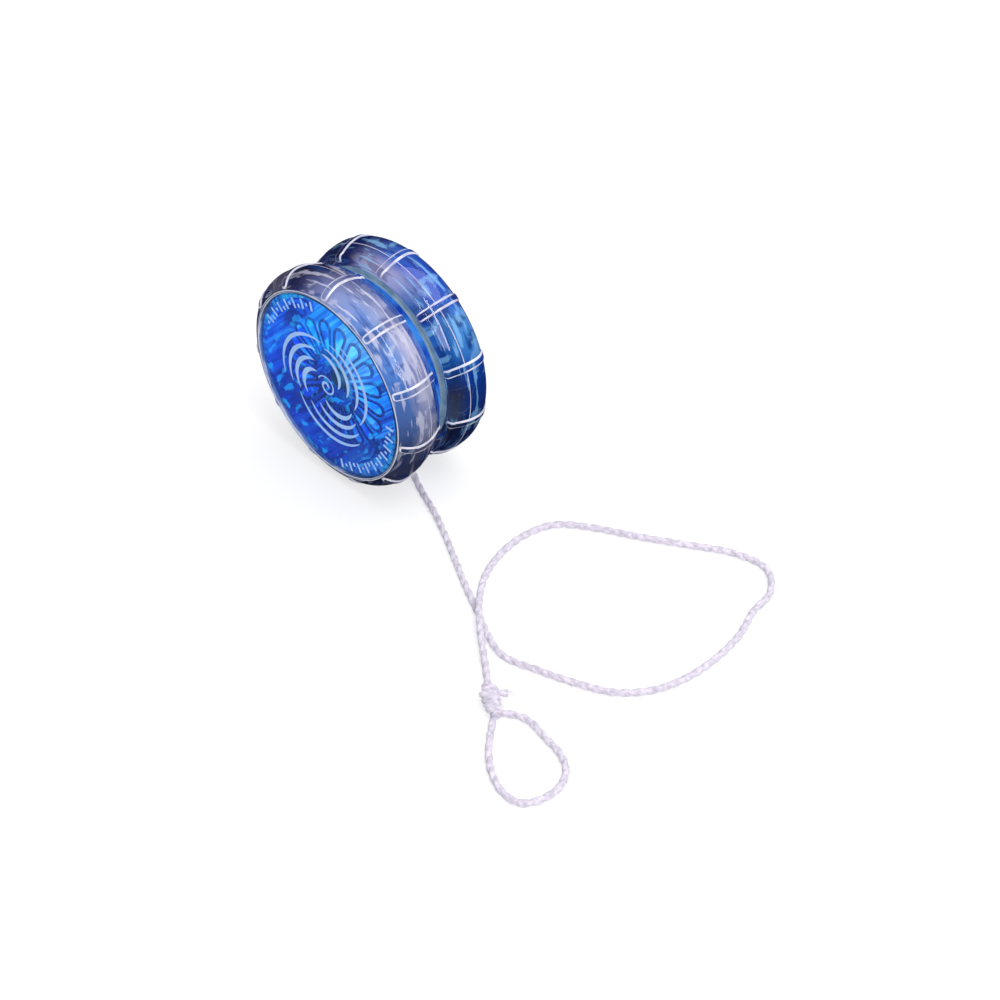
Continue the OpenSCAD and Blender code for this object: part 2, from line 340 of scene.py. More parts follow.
def add_knot():
    """Slip knot: wraps of the string round its own strands, with a short frayed tail."""
    thick_end, thin_end = mm_points([(80.8, -39.8, 2.5), (84.6, -42.0, 1.8)])
    turns, steps, start_angle, lean_by = 4.6, 160, 0.6, 0.3 * MM
    # Radius of the wraps in mm, how much it shrinks towards the thin end, and the first wrap's tuck
    wrap_r, taper, tuck, tuck_share = 1.65, 0.7, 0.5, 0.2
    fibre_root_r = 0.7 * MM
    along = (thin_end - thick_end).normalized()
    side = along.cross(Vector((0, 0, 1))).normalized()
    up = side.cross(along)
    first, last = thick_end - along * 1.2 * MM, thin_end + along * 0.5 * MM
    points = []
    for n in range(steps):
        t = n / (steps - 1)
        radius = (wrap_r - taper * t - tuck * max(0, 1 - t / tuck_share)) * MM
        angle = TAU * turns * t + start_angle
        lean = lean_by * math.sin(angle)
        points.append(
            first + (last - first) * t + along * lean
            + side * (radius * math.cos(angle)) + up * (radius * math.sin(angle))
        )
    wraps, wrap_path = twisted_cord("knot_wraps", points, 0.25 * MM, diameter=1.9 * MM)
    through = [first - along * 1.2 * MM, thick_end, thin_end, last + along * MM]
    core, _ = twisted_cord("knot_core", curve_points(through, 12), 0.3 * MM, diameter=2.8 * MM)
    tail_turn = math.radians(49)
    tail_way = Vector((math.cos(tail_turn), math.sin(tail_turn), 0))
    tail_end = thick_end + tail_way * 4.0 * MM
    tail, tail_path = twisted_cord(
        "knot_tail", curve_points([thick_end, thick_end + tail_way * 2 * MM, tail_end], 10),
        0.25 * MM, diameter=1.7 * MM,
    )
    draw = random.Random(5)
    frayed = [
        (
            tail_end + Vector([draw.uniform(-0.5, 0.5) * MM for _ in range(3)]),
            tail_way * 1.5 + Vector([draw.uniform(-1, 1) for _ in range(3)]),
        )
        for _ in range(30)
    ]
    loose = fibre_roots(wrap_path, 70, seed=11, reach=fibre_root_r)
    loose += fibre_roots(tail_path[8:], 20, seed=12, reach=fibre_root_r)
    fibres = add_fibres("knot_fibres", frayed + loose, seed=13)
    knot = join("knot_tied", [wraps, core, tail, fibres])
    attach(knot, "string_side")
    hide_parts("knot")
    return knot


def join(name, pieces):
    with bpy.context.temp_override(
        active_object=pieces[0], selected_editable_objects=pieces, selected_objects=pieces
    ):
        bpy.ops.object.join()
    pieces[0].name = name
    pieces[0].data.name = name
    return pieces[0]


string, string_path, string_start = add_string()
finger_loop, loop_path = add_finger_loop()
knot = add_knot()


# ---------------------------------------------------------------- materials
def new_material(name):
    material = bpy.data.materials.new(name)
    material.use_nodes = True
    tree = material.node_tree
    return material, tree, tree.nodes["Principled BSDF"]


def set_inputs(shader, **values):
    for name, value in values.items():
        shader.inputs[name.replace("_", " ")].default_value = value


def bump(tree, shader, height, strength, distance):
    node = tree.nodes.new("ShaderNodeBump")
    node.inputs["Strength"].default_value = strength
    node.inputs["Distance"].default_value = distance
    tree.links.new(height, node.inputs["Height"])
    tree.links.new(node.outputs["Normal"], shader.inputs["Normal"])


def noise(tree, scale, detail=3, stretch=(1, 1, 1)):
    place = tree.nodes.new("ShaderNodeTexCoord")
    mapping = tree.nodes.new("ShaderNodeMapping")
    mapping.inputs["Scale"].default_value = stretch
    node = tree.nodes.new("ShaderNodeTexNoise")
    node.inputs["Scale"].default_value = scale
    node.inputs["Detail"].default_value = detail
    tree.links.new(place.outputs["Object"], mapping.inputs["Vector"])
    tree.links.new(mapping.outputs["Vector"], node.inputs["Vector"])
    return node.outputs["Fac"]


def colour_ramp(tree, factor, stops):
    ramp = tree.nodes.new("ShaderNodeValToRGB")
    elements = ramp.color_ramp.elements
    while len(elements) < len(stops):
        elements.new(0.5)
    for element, (place, colour) in zip(elements, stops):
        element.position = place
        element.color = (*colour, 1)
    tree.links.new(factor, ramp.inputs["Fac"])
    return ramp.outputs["Color"]


def shade(red, green, blue):
    """Linear colour from the usual 0 to 255 values."""
    return tuple(((c / 255 + 0.055) / 1.055) ** 2.4 for c in (red, green, blue))


def mix_colours(tree, factor, first, second, blend="MIX"):
    mix = tree.nodes.new("ShaderNodeMix")
    mix.data_type = "RGBA"
    mix.blend_type = blend
    for name, value in (("Factor", factor), ("A", first), ("B", second)):
        if isinstance(value, bpy.types.NodeSocket):
            tree.links.new(value, mix.inputs[name])
        else:
            mix.inputs[name].default_value = value
    return mix.outputs["Result"]


def calculate(tree, operation, first, second):
    node = tree.nodes.new("ShaderNodeMath")
    node.operation = operation
    for socket, value in zip(node.inputs, (first, second)):
        if isinstance(value, bpy.types.NodeSocket):
            tree.links.new(value, socket)
        else:
            socket.default_value = value
    return node.outputs["Value"]


def wobbly(tree, value, amount, scale):
    """A value with noise added, so that its edges wander."""
    centred = calculate(tree, "SUBTRACT", noise(tree, scale), 0.5)
    return calculate(tree, "ADD", value, calculate(tree, "MULTIPLY", centred, amount))


def turn_about_axle(tree):
    """Angle about the axle as a share of a turn, 0.5 at +X and 0.75 at +Z."""
    spot = tree.nodes.new("ShaderNodeTexCoord")
    mapping = tree.nodes.new("ShaderNodeMapping")
    mapping.inputs["Location"].default_value = (0, -CENTRE.z, 0)
    mapping.inputs["Rotation"].default_value = (-math.pi / 2, 0, 0)
    gradient = tree.nodes.new("ShaderNodeTexGradient")
    gradient.gradient_type = "RADIAL"
    tree.links.new(spot.outputs["Object"], mapping.inputs["Vector"])
    tree.links.new(mapping.outputs["Vector"], gradient.inputs["Vector"])
    return gradient.outputs["Fac"]


def width_share(tree, low, high):
    """0 at one distance from the mid-plane and 1 at the other."""
    spot = tree.nodes.new("ShaderNodeTexCoord")
    split = tree.nodes.new("ShaderNodeSeparateXYZ")
    tree.links.new(spot.outputs["Object"], split.inputs["Vector"])
    width = calculate(tree, "ABSOLUTE", split.outputs["Y"], 0)
    share = calculate(tree, "DIVIDE", calculate(tree, "SUBTRACT", width, low), high - low)
    return wobbly(tree, share, 0.9, 180)


def patches(tree, colour, field, edge, tint, most):
    """Lays patches of a tint over a colour: above an edge of the noise field that is over its
    middle, or below one that is under it."""
    fade = 0.05 if edge > 0.5 else -0.05
    share = tree.nodes.new("ShaderNodeMapRange")
    share.inputs["From Min"].default_value = edge
    share.inputs["From Max"].default_value = edge + fade
    share.inputs["To Max"].default_value = most
    tree.links.new(field, share.inputs["Value"])
    return mix_colours(tree, share.outputs["Result"], colour, (*shade(*tint), 1))


def around(stops):
    """Ramp stops from angles in degrees and 0 to 255 colours."""
    return [(degrees / 360 + 0.5, shade(*colour)) for degrees, colour in stops]


def cord_material():
    """White spun fibre with a faint lavender tint and fine hairs."""
    material, tree, shader = new_material("white_string")
    colour = colour_ramp(tree, noise(tree, 900), [
        (0.3, shade(190, 184, 198)), (0.7, shade(230, 222, 234)),
    ])
    tree.links.new(colour, shader.inputs["Base Color"])
    set_inputs(shader, Roughness=0.9, Sheen_Weight=0.4, Sheen_Roughness=0.5, Specular_IOR_Level=0.2)
    bump(tree, shader, noise(tree, 3500, 4), 0.5, 0.00015)
    return material


def let_lamps_through(tree, shader, tint):
    """Clear plastic throws only a faint, tinted shadow."""
    path = tree.nodes.new("ShaderNodeLightPath")
    clear = tree.nodes.new("ShaderNodeBsdfTransparent")
    clear.inputs["Color"].default_value = (*tint, 1)
    mix = tree.nodes.new("ShaderNodeMixShader")
    tree.links.new(path.outputs["Is Shadow Ray"], mix.inputs["Fac"])
    tree.links.new(shader.outputs["BSDF"], mix.inputs[1])
    tree.links.new(clear.outputs["BSDF"], mix.inputs[2])
    tree.links.new(mix.outputs["Shader"], tree.nodes["Material Output"].inputs["Surface"])


def clear_material():
    """Colourless moulded plastic."""
    material, tree, shader = new_material("clear_plastic")
    colour = colour_ramp(tree, noise(tree, 60), [
        (0.35, (0.86, 0.87, 0.95)), (0.65, (0.97, 0.97, 1.0)),
    ])
    tree.links.new(colour, shader.inputs["Base Color"])
    set_inputs(shader, Roughness=0.01, Transmission_Weight=1.0, IOR=1.46)
    bump(tree, shader, noise(tree, 120, 2), 0.15, 0.0004)
    let_lamps_through(tree, shader, (0.9, 0.9, 0.95))
    return material


def bar_highlight_material():
    """Painted highlight: pale bands along a grip bar's edges and along the moulding line, where the
    clear plastic would catch light.
    """
    material, tree, shader = new_material("bar_painted_highlight")
    colour = colour_ramp(tree, noise(tree, 300), [
        (0.35, (0.62, 0.62, 0.74)), (0.6, (0.95, 0.94, 1.0)),
    ])
    tree.links.new(colour, shader.inputs["Base Color"])
    set_inputs(shader, Roughness=0.2, Transmission_Weight=0.25, IOR=1.46, Coat_Weight=0.5)
    return material


# Distances from the mid-plane between which a rim's painted bore colours change from gap side to
# face side
GAP_SIDE_W = 6 * MM
FACE_SIDE_W = 9 * MM


def bore_reflection_material(name, gap_stops, face_stops, light, dark):
    """Inside of a clear rim, seen through it: painted reflections and shade round the axle, pale
    highlight streaks and dark mirrored patches, over the blue of the core behind.
    """
    material, tree, shader = new_material(name)
    turn = wobbly(tree, turn_about_axle(tree), 0.05, 140)
    near_gap = colour_ramp(tree, turn, around(gap_stops))
    near_face = colour_ramp(tree, turn, around(face_stops))
    colour = mix_colours(tree, width_share(tree, GAP_SIDE_W, FACE_SIDE_W), near_gap, near_face)
    # Painted reflections: dark mirrored patches and pale highlight streaks, the last two stretched
    # round the rim
    colour = patches(tree, colour, noise(tree, 150, 4), 0.44, dark, 0.6)
    colour = patches(tree, colour, noise(tree, 210, 4), 0.59, light, 0.45)
    colour = patches(tree, colour, noise(tree, 140, 3, (1, 6.4, 1)), 0.42, dark, 0.5)
    colour = patches(tree, colour, noise(tree, 120, 3, (1, 7.5, 1)), 0.57, light, 0.7)
    tree.links.new(colour, shader.inputs["Base Color"])
    set_inputs(shader, Roughness=0.3, Specular_IOR_Level=0.2)
    return material


def cap_material():
    """Clear blue plastic."""
    material, tree, shader = new_material("clear_blue_plastic")
    colour = colour_ramp(tree, noise(tree, 70), [
        (0.35, (0.45, 0.85, 0.98)), (0.65, (0.65, 0.95, 1.0)),
    ])
    tree.links.new(colour, shader.inputs["Base Color"])
    set_inputs(shader, Roughness=0.02, Transmission_Weight=0.97, IOR=1.3, Specular_IOR_Level=0.35)
    let_lamps_through(tree, shader, (0.5, 0.75, 1.0))
    return material


def core_material(name, stops, glow, scale=150):
    """Glossy translucent blue plastic with a painted glow: it glows a little in its own colour.

    Fine rays run out from the axle. Sectors about the axle carry painted shade and light, as in the
    photograph: darker to the lower left and bottom, a painted sheen to the upper right and a
    painted cyan highlight near the top. Small patches are navy or cyan.
    """
    material, tree, shader = new_material(name)
    turn = turn_about_axle(tree)
    rays = tree.nodes.new("ShaderNodeTexNoise")
    rays.noise_dimensions = "1D"
    rays.inputs["Scale"].default_value = 90
    tree.links.new(turn, rays.inputs["W"])
    both = calculate(tree, "ADD", rays.outputs["Fac"], noise(tree, scale, 4))
    colour = colour_ramp(tree, calculate(tree, "MULTIPLY", both, 0.5), stops)
    # Painted shade and light by sector: darker to the lower left and bottom, near white from the
    # right over the top
    depth = colour_ramp(tree, wobbly(tree, turn, 0.1, 90), around([
        (-175, (70, 140, 225)), (-130, (30, 80, 190)), (-90, (50, 80, 180)), (-50, (150, 165, 215)),
        (0, (210, 225, 245)), (60, (232, 232, 240)), (130, (240, 240, 245)), (160, (120, 180, 240)),
    ]))
    colour = mix_colours(tree, 1.0, colour, depth, "MULTIPLY")
    # Painted sheen towards the upper right and painted cyan highlight near the top
    for tint, sector in (
        ((196, 210, 224), [(10, 0), (40, 130), (70, 150), (92, 0)]),
        ((20, 175, 245), [(68, 0), (96, 130), (124, 160), (150, 0)]),
    ):
        painted_light_share = colour_ramp(
            tree, wobbly(tree, turn, 0.06, 160), around([(at, (grey,) * 3) for at, grey in sector])
        )
        colour = mix_colours(tree, painted_light_share, colour, (*shade(*tint), 1))
    colour = patches(tree, colour, noise(tree, 170, 5), 0.43, (0, 20, 130), 0.7)
    colour = patches(tree, colour, noise(tree, 390, 5), 0.58, (40, 200, 250), 0.6)
    tree.links.new(colour, shader.inputs["Base Color"])
    # Emission of the surface's own colour: a painted glow
    tree.links.new(colour, shader.inputs["Emission Color"])
    set_inputs(shader, Roughness=0.12, Coat_Weight=0.5, Coat_Roughness=0.05, Emission_Strength=glow)
    return material


def print_material():
    material, tree, shader = new_material("light_blue_ink")
    colour = colour_ramp(tree, noise(tree, 400), [
        (0.3, (0.3, 0.55, 0.96)), (0.7, (0.42, 0.66, 1.0)),
    ])
    tree.links.new(colour, shader.inputs["Base Color"])
    set_inputs(shader, Roughness=0.35)
    return material


def metal_material(name, dark, light, roughness):
    material, tree, shader = new_material(name)
    colour = colour_ramp(tree, noise(tree, 500, 3, (1, 12, 1)), [(0.3, dark), (0.7, light)])
    tree.links.new(colour, shader.inputs["Base Color"])
    set_inputs(shader, Metallic=1.0, Roughness=roughness)
    return material


def plain_material(name, dark, light, roughness, glow=0.0, scale=300):
    material, tree, shader = new_material(name)
    colour = colour_ramp(tree, noise(tree, scale, 4), [(0.35, dark), (0.65, light)])
    tree.links.new(colour, shader.inputs["Base Color"])
    # Emission of the same colour: a painted glow wherever glow is above 0
    tree.links.new(colour, shader.inputs["Emission Color"])
    set_inputs(shader, Roughness=roughness, Emission_Strength=glow)
    bump(tree, shader, noise(tree, 2500, 3), 0.2, 0.0001)
    return material


CORD = cord_material()
CLEAR = clear_material()
BAR_HIGHLIGHT = bar_highlight_material()
# Colour stops round the axle are painted reflections and shade; the last two colours tint the
# painted highlight streaks and the dark mirrored patches
BORE_REFLECTIONS = {
    "front": bore_reflection_material("front_bore_painted_reflections", [
        (-170, (150, 154, 186)), (-90, (160, 162, 190)), (-56, (84, 92, 130)), (-32, (70, 76, 104)),
        (-14, (128, 130, 156)), (5, (160, 166, 196)), (25, (200, 200, 222)), (55, (196, 196, 220)),
        (72, (122, 134, 180)), (92, (112, 116, 160)), (106, (46, 48, 92)), (114, (20, 20, 58)),
        (124, (30, 28, 62)), (134, (90, 86, 104)), (150, (104, 98, 110)), (170, (150, 154, 186)),
    ], [
        (-170, (120, 140, 184)), (-90, (110, 136, 186)), (-56, (84, 96, 140)), (-32, (56, 68, 104)),
        (-12, (62, 84, 128)), (8, (84, 118, 180)), (30, (84, 134, 206)), (52, (104, 146, 208)),
        (70, (102, 140, 206)), (86, (146, 162, 210)), (102, (116, 122, 168)), (114, (50, 54, 98)),
        (122, (28, 30, 68)), (132, (90, 90, 112)), (150, (112, 108, 120)), (170, (120, 140, 184)),
    ], (226, 226, 238), (30, 70, 150)),
    "rear": bore_reflection_material("rear_bore_painted_reflections", [
        (-170, (90, 126, 190)), (-90, (100, 132, 190)), (-56, (40, 66, 120)), (-25, (10, 20, 50)),
        (-12, (66, 82, 108)), (5, (48, 54, 76)), (16, (20, 62, 125)), (32, (24, 92, 172)),
        (48, (20, 70, 150)), (62, (64, 104, 170)), (76, (150, 156, 200)), (92, (182, 178, 208)),
        (106, (150, 148, 186)), (116, (14, 16, 48)), (132, (20, 26, 62)), (146, (48, 54, 90)),
        (168, (90, 126, 190)),
    ], [
        (-170, (20, 90, 190)), (-80, (24, 96, 190)), (-34, (4, 36, 96)), (-14, (6, 50, 130)),
        (5, (6, 58, 140)), (14, (10, 80, 180)), (30, (64, 136, 206)), (44, (84, 150, 214)),
        (56, (16, 84, 196)), (76, (10, 72, 190)), (90, (40, 100, 196)), (104, (50, 64, 130)),
        (114, (8, 14, 50)), (146, (8, 24, 84)), (168, (20, 90, 190)),
    ], (140, 204, 244), (0, 24, 110)),
}
# Painted highlight: thin pale lines at the lip's chamfer and at the last step of the rim's face
LIP_HIGHLIGHT = plain_material("lip_painted_highlight", (0.5, 0.54, 0.66), (0.75, 0.76, 0.85), 0.3)
# Flange rings: the front ring's blue is a painted refraction of the blue disc behind the clear
# edge; the rear ring carries a painted glow
FLANGE = {
    "front": plain_material("blue_ring", shade(20, 60, 160), shade(60, 115, 200), 0.3),
    "rear": plain_material("grey_green_ring", shade(96, 124, 142), shade(130, 152, 162), 0.3, 0.4),
}
CAP = cap_material()
CAP_EDGE = plain_material("deep_blue_edge", (0.0, 0.06, 0.42), (0.01, 0.16, 0.7), 0.3)
# Dish: blue plastic with a painted glow and painted sector shade
CORE = core_material("blue_plastic", [
    (0.38, (0.0, 0.04, 0.35)), (0.45, (0.0, 0.18, 0.7)),
    (0.52, (0.02, 0.42, 0.88)), (0.62, (0.25, 0.75, 0.95)),
], 0.6)
# Petal rims: a darker copy of the blue plastic, painted shade
PETAL_RIM_SHADE = core_material("blue_plastic_painted_shade", [
    (0.42, (0.0, 0.01, 0.28)), (0.54, (0.0, 0.06, 0.6)), (0.66, (0.02, 0.3, 0.9)),
], 0.3)
# Petal pockets: a brighter, more glowing copy of the blue plastic, painted light
PETAL_POCKET_LIGHT = core_material("blue_plastic_painted_light", [
    (0.4, (0.0, 0.12, 0.8)), (0.47, (0.01, 0.36, 0.95)),
    (0.53, (0.08, 0.68, 1.0)), (0.62, (0.5, 0.98, 1.0)),
], 0.7, 300)
# Gap side of each dish: blue with a painted glow that lifts the shade of the gap
GAP_DISC = plain_material("gap_blue", shade(0, 56, 160), shade(64, 150, 222), 0.3, 0.45, 200)
INK = print_material()
STEEL = metal_material("bright_steel", (0.5, 0.51, 0.53), (0.7, 0.71, 0.73), 0.25)
BRASS = metal_material("turned_brass", (0.6, 0.42, 0.16), (0.82, 0.62, 0.28), 0.3)
NYLON = plain_material("brown_nylon", (0.32, 0.17, 0.07), (0.45, 0.26, 0.11), 0.5)
SILICONE = plain_material("pale_silicone", (0.5, 0.56, 0.6), (0.62, 0.67, 0.7), 0.6)

for piece in (string, finger_loop, knot):
    piece.data.materials.clear()
    piece.data.materials.append(CORD)

NODE_MATERIALS = {
    "axle": STEEL, "bearing_inner_ring": STEEL, "bearing_outer_ring": STEEL,
    "bearing_balls": STEEL, "bearing_front_shield": STEEL, "bearing_rear_shield": STEEL,
    "bearing_cage": NYLON,
}
for end in ("front", "rear"):
    NODE_MATERIALS[f"{end}_hex_nut"] = STEEL
    NODE_MATERIALS[f"{end}_spacer"] = BRASS
    NODE_MATERIALS[f"{end}_response_pad"] = SILICONE
for name, material in NODE_MATERIALS.items():
    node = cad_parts[name]
    node.data.materials.clear()
    node.data.materials.append(material)


# ---------------------------------------------------------------- halves
# Gaps that keep one skin just clear of the next
SLIP = 0.02 * MM
SKIN_GAP = 0.03 * MM


def place(radius, angle, width, end):
    """Point at a radius and angle about the axle, this far from the mid-plane towards one end."""
    side = -1 if end == "front" else 1
    return (
        CENTRE.x + radius * math.cos(angle), side * width, CENTRE.z + radius * math.sin(angle)
    )


def lathe(name, outline, end, columns, material, shift=None):
    """Turns a closed half-section (radius, width) about the axle.

    columns is a count of even steps or a list of angles. shift gives each point's extra radius
    and width.
    """
    angles = columns
    if isinstance(columns, int):
        angles = [TAU * k / columns for k in range(columns)]
    vertices, faces = [], []
    rows = len(outline)
    for angle in angles:
        for i, (radius, width) in enumerate(outline):
            if shift:
                dr, dw = shift(i, angle)
                radius, width = radius + dr, width + dw
            vertices.append(place(radius, angle, width, end))
    for j in range(len(angles)):
        across = (j + 1) % len(angles)
        for i in range(rows):
            nxt = (i + 1) % rows
            faces.append((j * rows + i, j * rows + nxt, across * rows + nxt, across * rows + i))
    return make_object(name, vertices, faces, material)


def arc(centre, radius, start, stop, steps):
    """Points of an arc in half-section; angles in degrees from the outward radius to the width."""
    return [
        (
            centre[0] + radius * math.cos(math.radians(start + (stop - start) * k / steps)),
            centre[1] + radius * math.sin(math.radians(start + (stop - start) * k / steps)),
        )
        for k in range(steps + 1)
    ]


def rim_sections():
    """Outer line of the rim from the gap to the lip, and the inner line back again."""
    edge_w = FLOOR_W + EDGE_ARC
    back_centre = (CREST_R - BACK_ARC, CREST_W)
    face_centre = (CREST_R - FACE_ARC, CREST_W)
    edge_r = back_centre[0] + math.sqrt(BACK_ARC ** 2 - (CREST_W - edge_w) ** 2) - EDGE_ARC
    back_start = -math.degrees(math.asin((CREST_W - edge_w) / BACK_ARC))
    face_stop = math.degrees(math.asin((LIP_W - CREST_W) / FACE_ARC))
    outer = [(edge_r - 0.5 * MM, FLOOR_W), (edge_r - 0.2 * MM, FLOOR_W)]
    outer += arc((edge_r, edge_w), EDGE_ARC, -90, 0, 7)
    outer += arc(back_centre, BACK_ARC, back_start, 0, 22)[1:]
    outer += arc(face_centre, FACE_ARC, 0, face_stop, 24)[1:]
    inner = [
        (CAP_R + 0.2 * MM, LIP_W), (CAP_R + SLIP, LIP_W - 0.15 * MM),
        (CAP_R + SLIP, CAP_SEAT_W), (LINER_R + SLIP, CAP_SEAT_W),
        (LINER_R + SLIP, FLANGE_TOP_W), (FLANGE_R, FLANGE_TOP_W), (FLANGE_R, FLOOR_W),
    ]
    return outer, inner


# Bar cross-section: places across it, in mm from its middle, where the mesh has a line
BAR_OFFSETS = [0.45, 0.6, 0.7, 0.8, 0.9, 1.0, 1.15, 1.5]
BAR_BEVEL = 0.34 * MM
FREE_STEPS = 12
# Painted highlight along a bar's edge: how far inside its outline the highlight's middle lies, and
# its half-width
BAR_HIGHLIGHT_DEPTH = 0.07 * MM
BAR_HIGHLIGHT_HALF = 0.24 * MM
# Fine moulding line round the rim, which also carries a painted highlight
LINE_W = 6.4 * MM
LINE_HALF = 0.08 * MM
LINE_RISE = 0.04 * MM


def add_rim(end, phase):
    """Clear rim with raised bars: flat tops, round ends, and a fine moulding line; painted
    highlights on bar edges, moulding line and lip, painted reflections on the bore.
    """
    outer, inner = rim_sections()
    line = [
        (CREST_R - BACK_ARC + math.sqrt(BACK_ARC ** 2 - (CREST_W - w) ** 2), w)
        for w in (LINE_W - LINE_HALF, LINE_W, LINE_W + LINE_HALF)
    ]
    line_at = next(i for i, point in enumerate(outer) if point[1] > line[1][1])
    outer[line_at:line_at] = line
    along = [0]
    for a, b in zip(outer, outer[1:]):
        along.append(along[-1] + math.dist(a, b))
    normals = []
    for i in range(len(outer)):
        a, b = outer[max(i - 1, 0)], outer[min(i + 1, len(outer) - 1)]
        dr, dw = b[0] - a[0], b[1] - a[1]
        size = math.hypot(dr, dw)
        normals.append((dw / size, -dr / size))
    first, last = along[1] + 0.3 * BAR_WIDTH, along[-1] - 0.6 * MM - BAR_WIDTH / 2
    pitch = TAU / BAR_COUNT
    offsets = [-o for o in reversed(BAR_OFFSETS)] + [0] + BAR_OFFSETS
    columns = []
    for k in range(BAR_COUNT):
        middle = math.radians(phase) + k * pitch
        bar = [middle + o * MM / CREST_R for o in offsets]
        free = pitch - 2 * offsets[-1] * MM / CREST_R
        columns += bar + [bar[-1] + free * n / FREE_STEPS for n in range(1, FREE_STEPS)]

    def bar_depth(i, angle):
        """How far inside a bar's outline a point lies."""
        turn = (angle - math.radians(phase) + pitch / 2) % pitch - pitch / 2
        across = turn * outer[i][0]
        past = max(first - along[i], along[i] - last, 0)
        return BAR_WIDTH / 2 - math.hypot(across, past)

    def shift(i, angle):
        if i >= len(outer):
            return 0, 0
        rise = BAR_RISE * smooth_step(bar_depth(i, angle) / BAR_BEVEL + 0.5)
        rise += LINE_RISE * (i == line_at + 1)
        return rise * normals[i][0], rise * normals[i][1]

    rim = lathe(f"{end}_rim_glassy", outer + inner, end, columns, CLEAR, shift)
    # Slots after the clear plastic: painted bar highlight, bore with painted reflections, cap edge,
    # flange ring, painted lip highlight
    for material in (BAR_HIGHLIGHT, BORE_REFLECTIONS[end], CAP_EDGE, FLANGE[end], LIP_HIGHLIGHT):
        rim.data.materials.append(material)
    edge, bore, cap_edge, flange, lip = range(1, 6)
    rows, wall = len(outer) + len(inner), len(outer)
    # Rows painted by slot: painted highlight lines at the lip, painted reflections on the bore
    # walls, deep blue by the cap, flange rings
    painted = {
        wall - 2: lip, wall: lip, wall + 1: bore, wall + 2: cap_edge, wall + 3: bore,
        wall + 4: flange, wall + 5: flange,
    }
    for face in rim.data.polygons:
        corners = [divmod(v, rows) for v in face.vertices]
        i = min(row for _, row in corners)
        if i in painted:
            face.material_index = painted[i]
        elif max(row for _, row in corners) < wall:
            depths = [bar_depth(row, columns[column]) for column, row in corners]
            depth = sum(depths) / len(depths)
            # Painted highlight: pale bands along both edges of each bar and along the moulding line
            # between the bars
            on_line = i in (line_at, line_at + 1) and depth < 0
            if on_line or abs(depth - BAR_HIGHLIGHT_DEPTH) < BAR_HIGHLIGHT_HALF:
                face.material_index = edge
    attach(rim, "wheel")
    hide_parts(f"{end}_rim_shell")


def add_cap(end):
    """Clear blue face disc with a bevelled edge."""
    radius = CAP_R - SKIN_GAP
    face, seat = CAP_FACE_W, CAP_SEAT_W + SLIP
    near_axis = 0.02 * MM
    outline = [
        (near_axis, seat), (8 * MM, seat), (radius - 0.2 * MM, seat), (radius, seat + 0.2 * MM),
        (radius, face - 0.75 * MM), (radius - 0.06 * MM, face - 0.62 * MM),
        (radius - 0.62 * MM, face - 0.06 * MM), (radius - 0.78 * MM, face),
        (16 * MM, face), (8 * MM, face), (near_axis, face),
    ]
    cap = lathe(f"{end}_cap_glassy", outline, end, 192, CAP)
    cap.data.materials.append(CAP_EDGE)
    for face in cap.data.polygons:
        if min(v % len(outline) for v in face.vertices) in (2, 3):
            face.material_index = 1
    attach(cap, "wheel")
    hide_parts(f"{end}_face_cap")


PETALS = 18
PETAL_TOP = 11
# Levels of a petal's skin, from the floor up its wall, over its rim and down into its pocket:
# reach, tip radius, root distance, half-width at the root, and distance from the mid-plane, in mm
PETAL_LEVELS = [
    (17, 2.2, 6.4, 0.8, FLANGE_TOP_W / MM),
    (17, 2.2, 6.4, 0.8, PETAL_TOP - 0.25),
    (16.8, 2.0, 6.6, 0.65, PETAL_TOP),
    (16.35, 1.55, 7.8, 0.4, PETAL_TOP),
    (16.15, 1.35, 8.1, 0.3, PETAL_TOP - 0.25),
    (16.05, 1.25, 8.2, 0.25, 5.5),
]
TIP_STEPS = 10


def petal_outline(reach, tip_r, root_x, root_half):
    """Outline of one petal pointing along the first axis: a wedge with a round tip."""
    tip_x = reach - tip_r
    points = [(root_x, -root_half)]
    for k in range(TIP_STEPS + 1):
        angle = -math.pi / 2 + math.pi * k / TIP_STEPS
        points.append((tip_x + tip_r * math.cos(angle), tip_r * math.sin(angle)))
    points.append((root_x, root_half))
    return points


def add_petal(vertices, faces, angle, end):
    """A hollow petal: an outer wall, a bevelled rim and a pocket, as one closed skin.

    Returns which of its faces, counted from its first, are in the outer wall and in the pocket.
    """
    start = len(vertices)
    for *shape, width in PETAL_LEVELS:
        outline = petal_outline(*(size * MM for size in shape))
        for x, y in outline:
            vertices.append(place(math.hypot(x, y), angle + math.atan2(y, x), width * MM, end))
    count, last = len(outline), len(PETAL_LEVELS) - 1
    for level in range(last):
        for i in range(count):
            a, b = start + level * count + i, start + level * count + (i + 1) % count
            faces.append((a, b, b + count, a + count))
    top = start + last * count
    faces.append(tuple(range(start + count - 1, start - 1, -1)))
    faces.append(tuple(range(top, top + count)))
    return range(count), {*range((last - 1) * count, last * count), last * count + 1}


